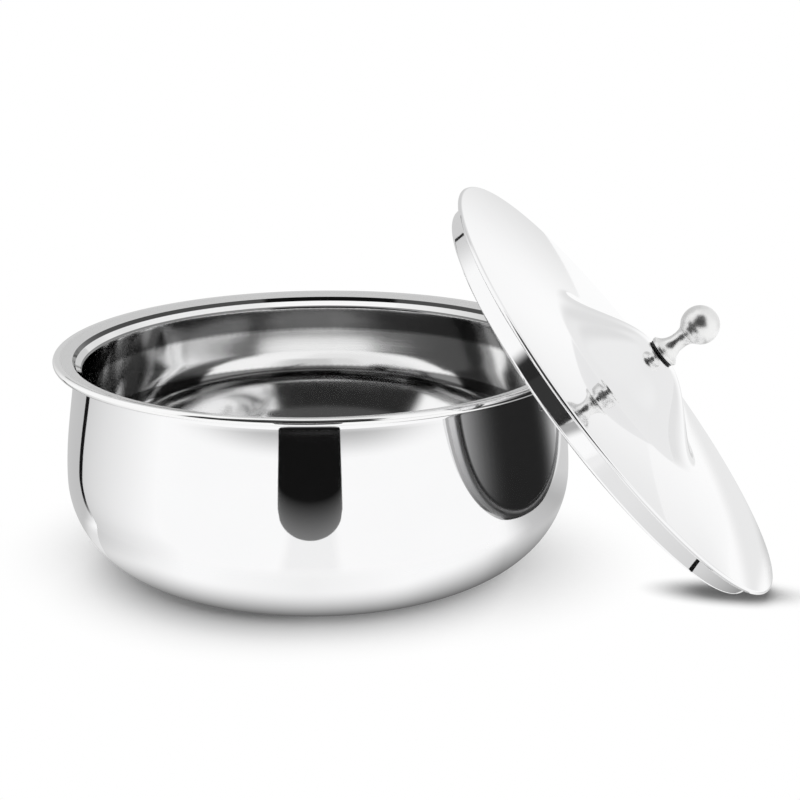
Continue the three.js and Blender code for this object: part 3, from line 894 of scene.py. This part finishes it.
def floor_look():
    """White: it takes the object's shadow near what stands on it, with a painted shadow in its colour under
    the leaning lid, and glows evenly further out.
    """
    material, tree, surface = bare_material("floor")
    share = 1
    for middle, reach, fade in POT_SHADOWS:
        faded = eased(tree, oval_distance(tree, middle, reach), *fade, 0, 1)
        share = linked(tree, "MINIMUM", share, linked(tree, "POWER", faded, POT_SHADOW_POWER))
    openness = added(tree, "AmbientOcclusion", {"Distance": CONTACT_REACH}, samples=CONTACT_SAMPLES)["AO"]
    lifted = eased(tree, openness, *CONTACT_OPEN, 0, 1)
    lid_distance = linked(tree, "MAXIMUM", oval_distance(tree, *LID_OVAL), lifted)
    share = linked(tree, "MINIMUM", share, eased(tree, lid_distance, *LID_FADE, 0, 1))
    # Painted shadow: the floor's colour darkens towards the middle of the lid's oval
    level = eased(tree, lid_distance, 0, 1, FLOOR_COLOR * LID_PAINTED_SHADOW, FLOOR_COLOR)
    diffuse = added(tree, "BsdfDiffuse", {"Color": grey(tree, level)})["BSDF"]
    seen = seen_by(tree, "Is Glossy Ray", "Is Transmission Ray", "Is Camera Ray")
    dim = glow(tree, linked(tree, "MULTIPLY", seen, FLOOR_GLOW))
    near = added(tree, "AddShader", {0: diffuse, 1: dim})["Shader"]
    mixed(tree, surface, share, near, glow(tree, 1))
    return material


stage_piece(
    "stage_floor",
    [(x * FLOOR_HALF, y * FLOOR_HALF, -FLOOR_DEPTH) for x, y in ((-1, -1), (1, -1), (1, 1), (-1, 1))],
    [(0, 1, 2, 3)],
    floor_look(),
)

# The studio, which only reflections show. Each part has its middle in degrees round from the
# front, its half width, its lowest and highest edge, how soft its edges are, and its brightness.
STUDIO = (
    (150, 52, 30, 90, 28, 0.88),
    (168, 16, 24, 60, 14, 0.77),
    (184, 9, -10, 60, 10, 0.78),
    (135, 20, -4, 30, 9, 0.86),
    (-171, 10, 9, 60, 5, 0.66),
    (-4, 38, -5, 40, 7, 0.022),
    (4, 40, 38, 70, 4, 0.075),
)
AMBIENT = 0.36


def turn_from(tree, way, middle):
    """Radians between the way and the middle, which is in degrees, round the object."""
    inputs = {"Vector": way, "Angle": math.radians(-middle)}
    spun = added(tree, "VectorRotate", inputs, rotation_type="Z_AXIS")["Vector"]
    parts = added(tree, "SeparateXYZ", {0: spun})
    turn = linked(tree, "ARCTAN2", parts["X"], linked(tree, "MULTIPLY", parts["Y"], -1))
    return linked(tree, "ABSOLUTE", turn, 0)


def studio_world():
    world = bpy.data.worlds.new("studio")
    bpy.context.scene.world = world
    world.use_nodes = True
    tree = world.node_tree
    tree.nodes.clear()
    way = added(tree, "TexCoord")["Generated"]
    lift = linked(tree, "ARCSINE", added(tree, "SeparateXYZ", {0: way})["Z"], 0)
    brightness = 1.0
    for middle, half_width, lowest, highest, soft, shade in STUDIO:
        edges = (half_width, half_width + soft, lowest - soft, lowest, highest, highest + soft)
        side_in, side_out, low_out, low_in, high_in, high_out = map(math.radians, edges)
        side_share = eased(tree, turn_from(tree, way, middle), side_in, side_out, 1, 0)
        low_share = eased(tree, lift, low_out, low_in, 0, 1)
        high_share = eased(tree, lift, high_in, high_out, 1, 0)
        share = linked(tree, "MULTIPLY", side_share, linked(tree, "MULTIPLY", low_share, high_share))
        brightness = blended(tree, share, brightness, shade)
    reflected = seen_by(tree, "Is Glossy Ray", "Is Transmission Ray")
    strength = blended(tree, reflected, AMBIENT, brightness)
    strength = linked(tree, "MAXIMUM", seen_by(tree, "Is Camera Ray"), strength)
    sky = added(tree, "Background", {"Color": (1, 1, 1, 1), "Strength": strength})["Background"]
    tree.links.new(sky, tree.nodes.new("ShaderNodeOutputWorld").inputs["Surface"])


studio_world()


def card_look(name, second_only=False, near_only=None):
    """Glows as its point attribute "shade" says, and covers what is behind as "cover" says.

    One that is for the second reflection only is clear to the first, and one that is for what is
    near only is clear to what lies further away than that.
    """
    material, tree, surface = bare_material(name)
    shade = added(tree, "Attribute", attribute_name="shade")["Fac"]
    share = added(tree, "Attribute", attribute_name="cover")["Fac"]
    path = added(tree, "LightPath")
    if second_only:
        share = linked(tree, "MULTIPLY", share, linked(tree, "GREATER_THAN", path["Glossy Depth"], 1.5))
    if near_only:
        share = linked(tree, "MULTIPLY", share, linked(tree, "LESS_THAN", path["Ray Length"], near_only))
    mixed(tree, surface, share, added(tree, "BsdfTransparent")["BSDF"], glow(tree, shade))
    return material


# The screens: the numbers in their fades are shares of their width and height
CARD = card_look("card")
SECOND_CARD = card_look("second_card", second_only=True)
NEAR_CARD = card_look("near_card", near_only=0.03)
CARD_STEPS = 32
BLACK = 0.008


def card(name, point_at, shade_at, cover_at, look=CARD, steps=CARD_STEPS):
    """A screen that only reflections show; the functions take how far across and up a point is."""
    row = steps + 1
    shares = [(across / steps, rise / steps) for rise in range(row) for across in range(row)]
    faces = [
        (start, start + 1, start + row + 1, start + row)
        for rise in range(steps) for start in range(rise * row, rise * row + steps)
    ]
    item = stage_piece(name, [point_at(*share) for share in shares], faces, look)
    for attribute, value_at in (("shade", shade_at), ("cover", cover_at)):
        layer = item.data.attributes.new(attribute, "FLOAT", "POINT")
        layer.data.foreach_set("value", [value_at(*share) for share in shares])
    item.visible_camera = False
    item.visible_diffuse = False
    item.visible_shadow = False


def around(degrees, distance, height):
    """The point that far from the pot's axis and that high, the degrees counted from the front."""
    angle = math.radians(degrees)
    return metres(distance * math.sin(angle), -distance * math.cos(angle), height)


def between(low, high, share):
    return low + (high - low) * max(0, min(1, share))


def eased_share(share):
    share = max(0, min(1, share))
    return share * share * (3 - 2 * share)


def side_fade(across, steepness):
    """Fades a card out to both sides."""
    return eased_share(steepness * (1 - abs(across * 2 - 1)))


def even(value):
    """The same shade or cover all over a card."""
    return lambda across, rise: value


# The card in front: a tall U, black above and grey below
FRONT_DISTANCE = 180
FRONT_MIDDLE, FRONT_HALF = 9.2, 9.3
FRONT_LOW, FRONT_HIGH, FRONT_BOWL = 24.6, 86, 25
FRONT_SHADES, FRONT_SHADE_SHARE = (0.2, 0.006), 0.5


def front_point(across, rise):
    side = across * 2 - 1
    bottom = FRONT_LOW + FRONT_BOWL * (1 - math.sqrt(max(0, 1 - side * side)))
    return around(FRONT_MIDDLE + side * FRONT_HALF, FRONT_DISTANCE, between(bottom, FRONT_HIGH, rise))


card(
    "stage_front_card",
    front_point,
    lambda across, rise: between(*FRONT_SHADES, rise / FRONT_SHADE_SHARE),
    even(1),
)

# The dim strip behind it, which hangs a little at its ends and fades out downwards and sideways
HALO_DISTANCE, HALO_TURN, HALO_HEIGHT, HALO_SAG = 260, (-50, 69), (74, 93.5), 2.5
HALO_SHADE = 0.42
card(
    "stage_front_halo",
    lambda across, rise: around(
        between(*HALO_TURN, across),
        HALO_DISTANCE,
        between(*HALO_HEIGHT, rise) - HALO_SAG * (across * 2 - 1) ** 2,
    ),
    even(HALO_SHADE),
    lambda across, rise: eased_share(rise / 0.6) * side_fade(across, 1.3),
)

# The dark card further out in front, which the knob shows
ROOM_MIDDLE, ROOM_HALF, ROOM_HEIGHT = (-90, -440), 100, (90, 240)
ROOM_SHADE = 0.035
card(
    "stage_room_card",
    lambda across, rise: metres(
        ROOM_MIDDLE[0] + ROOM_HALF * (across * 2 - 1), ROOM_MIDDLE[1], between(*ROOM_HEIGHT, rise)
    ),
    even(ROOM_SHADE),
    lambda across, rise: side_fade(across, 4) * eased_share(rise * 5),
)

# The screens at the left: a grey one that bends onto the floor, a black strip at its front edge,
# and a dim one that fades out towards the front
LEFT_DISTANCE, LEFT_FOOT, LEFT_TOP, LEFT_LIFT = 150, 76, 84, 0.5
LEFT_FOLD = 0.3
LEFT_BACK_TURN, LEFT_SHADES = -140, (0.62, 0.54)
STRIP_TOP_TURN, STRIP_SWING, STRIP_FOOT_SWING = -77.7, 6.5, 8
STRIP_BEND, STRIP_HALF = (34, 8), (0.5, 1.8)
FADE_TURN, FADE_SHADE, FADE_COVER = 42, 0.55, 0.8


def left_height(rise):
    return LEFT_TOP * (rise - LEFT_FOLD) / (1 - LEFT_FOLD)


def strip_turn(rise):
    swing = eased_share((STRIP_BEND[0] - left_height(rise)) / (STRIP_BEND[0] - STRIP_BEND[1]))
    return STRIP_TOP_TURN + STRIP_SWING * swing + STRIP_FOOT_SWING * max(0, 1 - rise / LEFT_FOLD)


def left_point(degrees, rise, offset):
    if rise < LEFT_FOLD:
        distance = between(LEFT_FOOT, LEFT_DISTANCE + offset, rise / LEFT_FOLD)
        return around(degrees, distance, LEFT_LIFT - offset / 10)
    return around(degrees, LEFT_DISTANCE + offset, max(LEFT_LIFT, left_height(rise)))


card(
    "stage_left_card",
    lambda across, rise: left_point(between(LEFT_BACK_TURN, strip_turn(rise), across), rise, 0),
    lambda across, rise: between(*LEFT_SHADES, across),
    lambda across, rise: (
        between(0, 1, across / 0.2) * between(0, 1, rise * 8)
        * eased_share((1 - across) * 6 + (rise - LEFT_FOLD) * 5)
    ),
)
card(
    "stage_left_strip",
    lambda across, rise: left_point(
        strip_turn(rise) + (across * 2 - 1) * between(*STRIP_HALF, rise / 0.6), rise, -1
    ),
    even(BLACK),
    lambda across, rise: eased_share((rise - LEFT_FOLD - 0.05) / 0.15),
)
card(
    "stage_left_fade",
    lambda across, rise: left_point(strip_turn(rise) + FADE_TURN * across, rise, 1),
    even(FADE_SHADE),
    lambda across, rise: FADE_COVER * (1 - across) * between(0, 1, rise * 4),
)

# The grey screen at the far side of the lid, which fades out to the left, with a black strip
LID_EYE = (67, -38, 152)
LID_SCREEN_DISTANCE, LID_SCREEN_TURN, LID_SCREEN_RISE = 600, (-172, -92), (-13, 62)
LID_SCREEN_SHADE = 0.64
MARK_DISTANCE, MARK_TURN, MARK_RISE, MARK_HALF = 590, (-129, -147), (13, 33), 2.1


def seen_from_lid(degrees, rise, distance):
    """The point that lies that way and that far from the top of the leaning lid."""
    turn, lift = math.radians(degrees), math.radians(rise)
    way = (math.sin(turn) * math.cos(lift), -math.cos(turn) * math.cos(lift), math.sin(lift))
    return metres(*(eye + distance * part for eye, part in zip(LID_EYE, way)))


card(
    "stage_lid_card",
    lambda across, rise: seen_from_lid(
        between(*LID_SCREEN_TURN, across), between(*LID_SCREEN_RISE, rise), LID_SCREEN_DISTANCE
    ),
    even(LID_SCREEN_SHADE),
    lambda across, rise: 1 - eased_share((across - 0.43) / 0.45),
)
card(
    "stage_lid_mark",
    lambda across, rise: seen_from_lid(
        between(*MARK_TURN, rise) + (across * 2 - 1) * MARK_HALF, between(*MARK_RISE, rise), MARK_DISTANCE
    ),
    even(BLACK),
    even(1),
)

# The small black strip beside the lid's skirt, low down
LOW_MARK_X, LOW_MARK_Y, LOW_MARK_Z, LOW_MARK_HALF = (165, 174), (-81, -84), (29, 26.75), 1.1
card(
    "stage_lid_low_mark",
    lambda across, rise: metres(
        between(*LOW_MARK_X, across),
        between(*LOW_MARK_Y, across) + (rise * 2 - 1) * LOW_MARK_HALF,
        between(*LOW_MARK_Z, across),
    ),
    even(BLACK),
    even(1),
    NEAR_CARD,
)

# The grey screen along the lower half of the lid's skirt, an arc in the lid's own frame: the
# degrees that it spans, its gap to the skirt at both ends and its lowest and highest edge
SKIRT_SCREEN_TURN, SKIRT_SCREEN_GAP, SKIRT_SCREEN_SPAN = (-92, -16), (14, 3), (-19, -1)


def skirt_screen_point(across, rise):
    turn = math.radians(between(*SKIRT_SCREEN_TURN, across))
    radius = SKIRT_RADIUS + between(*SKIRT_SCREEN_GAP, across)
    place = Vector((radius * math.cos(turn), radius * math.sin(turn), between(*SKIRT_SCREEN_SPAN, rise)))
    return tuple(LID_PLACE @ (place * MILLIMETRE))


card(
    "stage_skirt_screen",
    skirt_screen_point,
    lambda across, rise: between(0.81, 0.68, (across - 0.2) / 0.4) - between(0, 0.38, (across - 0.6) / 0.35),
    lambda across, rise: eased_share(across * 12),
    NEAR_CARD,
)

# Three mats under and behind the leaning lid, each with its range across and back, its height
# and the width of its soft edge: a pale one, a grey one, and a dark one that only the lid's
# underside shows. The grey and the dark one are painted shade: in reflections they stand for the shade on
# the floor under the lid.
PALE_MAT = ((92, 280), (20, 500), 0.1, 40)
GREY_MAT = ((92, 216), (-62, 250), 0.25, 14)
DARK_MAT = ((92, 216), (-150, 134), 0.5, 14)
PALE_SHADE = 0.84
GREY_FRONT_SHADE, GREY_SHADE, GREY_BACK_SHADE, GREY_FAR_SHADE = 1, 0.56, 0.47, 0.64
GREY_FRONT_REACH, GREY_BACK_REACH, GREY_FAR_START, GREY_FAR_REACH = 50, 60, 70, 60
DARK_HALF, DARK_FADE, DARK_POWER, DARK_SHADES = 21, 99, 1.8, (0.018, 0.418)


def mat(name, layout, shade_at, look=CARD):
    x_range, y_range, height, edge = layout

    def point_at(across, rise):
        return metres(between(*x_range, across), between(*y_range, rise), height)

    def cover_at(across, rise):
        across_edge = min(across, 1 - across) * (x_range[1] - x_range[0])
        rise_edge = min(rise, 1 - rise) * (y_range[1] - y_range[0])
        return eased_share(across_edge / edge) * eased_share(rise_edge / edge)

    card(name, point_at, shade_at, cover_at, look)


def grey_mat_shade(across, rise):
    place = between(*GREY_MAT[1], rise)
    if place < 0:
        return between(GREY_SHADE, GREY_FRONT_SHADE, eased_share(-place / GREY_FRONT_REACH))
    far = between(0, GREY_FAR_SHADE - GREY_BACK_SHADE, (place - GREY_FAR_START) / GREY_FAR_REACH)
    return between(GREY_SHADE, GREY_BACK_SHADE, place / GREY_BACK_REACH) + far


def dark_mat_shade(across, rise):
    share = max(0, abs(between(*DARK_MAT[1], rise)) - DARK_HALF) / DARK_FADE
    return between(*DARK_SHADES, eased_share(share ** DARK_POWER))


mat("stage_pale_mat", PALE_MAT, even(PALE_SHADE))
# Painted shade, seen only in reflections: the grey and the dark mat stand for the shade under the lid
mat("stage_grey_mat_painted_shade", GREY_MAT, grey_mat_shade)
mat("stage_dark_mat_painted_shade", DARK_MAT, dark_mat_shade, SECOND_CARD)

# The fan on the floor to the right, from a point beside the pot
SIDE_MAT_START, SIDE_MAT_TURN, SIDE_MAT_REACH, SIDE_MAT_HEIGHT = 180, (100, 166), (260, 11000), 0.15
SIDE_MAT_SHADE = 0.8


def side_mat_point(across, rise):
    reach = between(*SIDE_MAT_REACH, rise**3)
    x, y, z = around(between(*SIDE_MAT_TURN, across), reach, SIDE_MAT_HEIGHT)
    return (SIDE_MAT_START * MILLIMETRE + x, y, z)


card(
    "stage_side_mat",
    side_mat_point,
    even(SIDE_MAT_SHADE),
    lambda across, rise: side_fade(across, 1.3) * eased_share(rise * 2.5),
)

# The ring around the pot's foot, a painted shadow that only reflections show, for the floor's shade at the
# foot: how far the dim part reaches at each turn, and its shade there
FOOT_RING_START, FOOT_RING_WIDTH, FOOT_RING_FADE, FOOT_RING_HEIGHT = 79, 71, 25, 0.35
FOOT_RING_SHADOW_LEVEL = 0.12
FOOT_RING_STEPS = 72
FOOT_RING = (
    (-180, 55, 0.7), (-100, 50, 0.7), (-75, 30, 0.75), (-40, 43, 1), (-21, 38, 1), (9, 33, 0.91),
    (33, 36, 1), (50, 48, 1), (60, 55, 0.97), (70, 72, 0.98), (82, 55, 0.6), (100, 55, 0.55), (180, 55, 0.7),
)


def foot_ring_point(across, rise):
    return around(between(-180, 180, across), FOOT_RING_START + FOOT_RING_WIDTH * rise, FOOT_RING_HEIGHT)


def foot_ring_shade(across, rise):
    turn = between(-180, 180, across)
    reach, shade = FOOT_RING[0][1:]
    for (start, low_reach, low_shade), (end, high_reach, high_shade) in zip(FOOT_RING, FOOT_RING[1:]):
        if turn >= start:
            share = (turn - start) / (end - start)
            reach, shade = between(low_reach, high_reach, share), between(low_shade, high_shade, share)
    return between(FOOT_RING_SHADOW_LEVEL, shade, eased_share(rise * FOOT_RING_WIDTH / reach))


# Painted shadow: the pot's reflection of the floor darkens towards its foot
card(
    "stage_foot_painted_shadow",
    foot_ring_point,
    foot_ring_shade,
    lambda across, rise: eased_share((1 - rise) * FOOT_RING_WIDTH / FOOT_RING_FADE),
    steps=FOOT_RING_STEPS,
)

# The dim strip on the floor in front of the U
FRONT_FOOT_HALF, FRONT_FOOT_REACH, FRONT_FOOT_HEIGHT, FRONT_FOOT_SHADE = 10, (122, 420), 0.3, 0.91
card(
    "stage_front_foot",
    lambda across, rise: around(
        FRONT_MIDDLE + (across * 2 - 1) * FRONT_FOOT_HALF,
        between(*FRONT_FOOT_REACH, rise),
        FRONT_FOOT_HEIGHT,
    ),
    even(FRONT_FOOT_SHADE),
    lambda across, rise: side_fade(across, 2.4) * eased_share(rise * 10),
)


def softbox(name, place, target, size, power):
    """A soft lamp, in metres and watts, that the object's reflections don't show."""
    light = bpy.data.lights.new(name, "AREA")
    light.shape = "RECTANGLE"
    light.size, light.size_y = size
    light.energy = power
    item = placed(name, light)
    item.location = place
    item.rotation_mode = "QUATERNION"
    item.rotation_quaternion = (Vector(target) - Vector(place)).to_track_quat("-Z", "Y")
    item.visible_glossy = False


softbox("overhead", (0.05, 0.1, 1.4), (0.04, 0, 0), (1.6, 1.6), 16)

# Camera: where it stands, to the right of, above and away from a point above the pot's middle,
# and its lens, found from the photo's outlines of the rim, the lid and the ball
AZIMUTH, ELEVATION, ROLL = math.radians(9.35), math.radians(15.943), math.radians(-0.153)
CAMERA_RIGHT, CAMERA_UP, CAMERA_BACK = 36.249, -22.551, 750.16
AIM_HEIGHT = 94.43
SENSOR_WIDTH, LENS_LENGTH, CLIP_START = 36, 76.5, 0.01


def photo_camera():
    level = math.cos(ELEVATION)
    back = Vector((math.sin(AZIMUTH) * level, -math.cos(AZIMUTH) * level, math.sin(ELEVATION)))
    side = Vector((math.cos(AZIMUTH), math.sin(AZIMUTH), 0))
    up = back.cross(side)
    right = side * math.cos(ROLL) + up * math.sin(ROLL)
    upward = up * math.cos(ROLL) - side * math.sin(ROLL)
    place = (right * CAMERA_RIGHT + upward * CAMERA_UP + back * CAMERA_BACK) * MILLIMETRE
    place.z += AIM_HEIGHT * MILLIMETRE
    camera = placed("camera", bpy.data.cameras.new("camera"))
    camera.matrix_world = Matrix.Translation(place) @ Matrix((right, upward, back)).transposed().to_4x4()
    camera.data.sensor_width = SENSOR_WIDTH
    camera.data.lens = LENS_LENGTH
    camera.data.clip_start = CLIP_START
    bpy.context.scene.camera = camera


photo_camera()

bpy.context.scene.view_settings.view_transform = "Standard"
